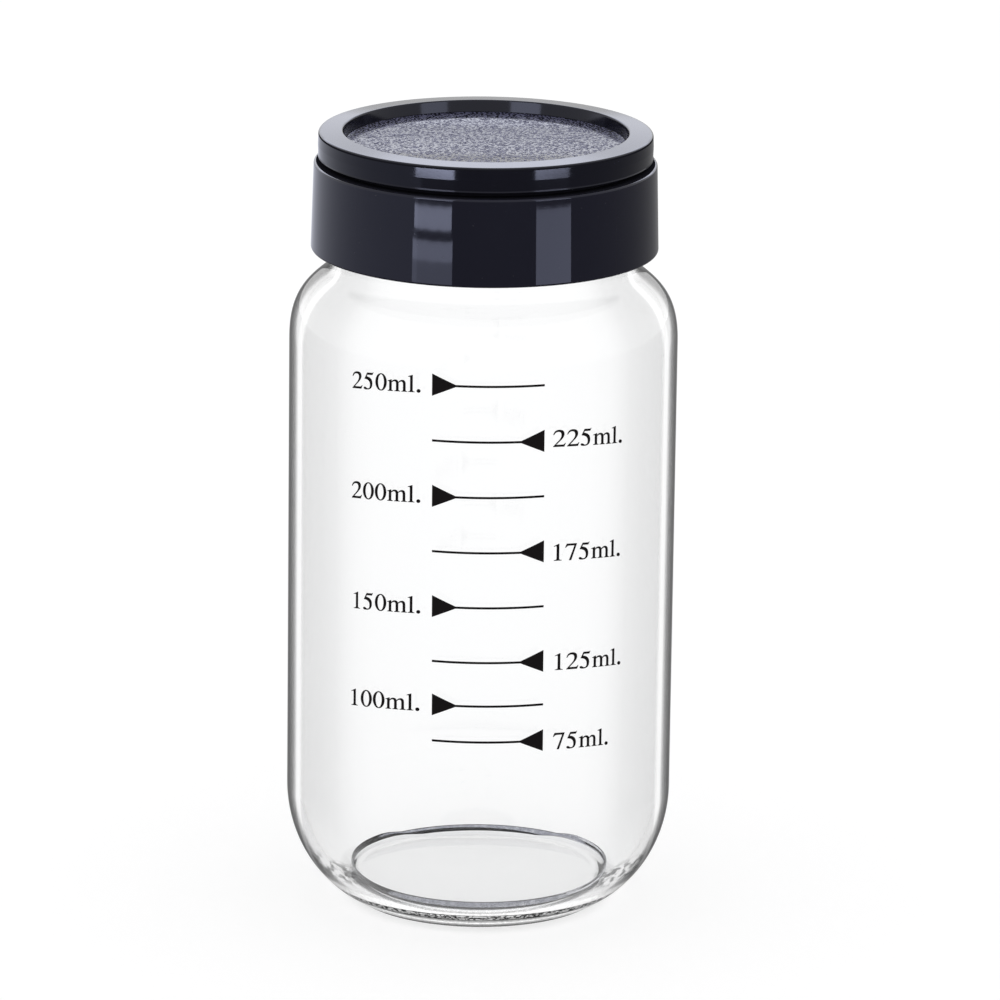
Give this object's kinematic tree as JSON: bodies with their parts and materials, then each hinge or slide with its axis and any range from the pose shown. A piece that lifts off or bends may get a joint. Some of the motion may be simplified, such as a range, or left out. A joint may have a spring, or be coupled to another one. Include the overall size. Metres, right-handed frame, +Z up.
{
  "type": "glass measuring jar with screw cap",
  "caption": "Round clear glass jar with a printed millilitre scale, a threaded neck and a black screw cap whose clip-on cover has a sunken textured top.",
  "frame": {"origin": "middle of the ring that the jar stands on", "axes": "+Z up along the jar's axis, -Y towards the printed scale"},
  "size_m": [0.065, 0.0651, 0.1325],
  "materials": {
    "glass": "clear, smooth and glossy",
    "ink": "black screen-printed ink",
    "cap_gloss": "smooth black moulded plastic",
    "cap_satin": "black moulded plastic, pebbled on the sunken top",
    "liner": "off-white foam liner"
  },
  "bodies": {
    "jar": {"glass_jar": "glass", "scale_mark_250": "ink", "scale_mark_225": "ink", "scale_mark_200": "ink", "scale_mark_175": "ink", "scale_mark_150": "ink", "scale_mark_125": "ink", "scale_mark_100": "ink", "scale_mark_75": "ink"},
    "liner": {"cap_liner": "liner"},
    "cap": {"cap_collar": "cap_gloss", "cap_cover": "cap_satin"}
  },
  "joints": [
    {"name": "cap_rise", "type": "slide", "parent": "jar", "child": "liner", "axis": [0, 0, 1], "range_m": [0, 0.0147]},
    {"name": "cap_turn", "type": "hinge", "parent": "liner", "child": "cap", "pos_m": [0, 0, 0.1257], "axis": [0, 0, 1], "range_deg": [0, 1260]}
  ],
  "couplings": [
    {"joint": "cap_rise", "follows": "cap_turn", "m_per_rad": 0.00066845}
  ]
}
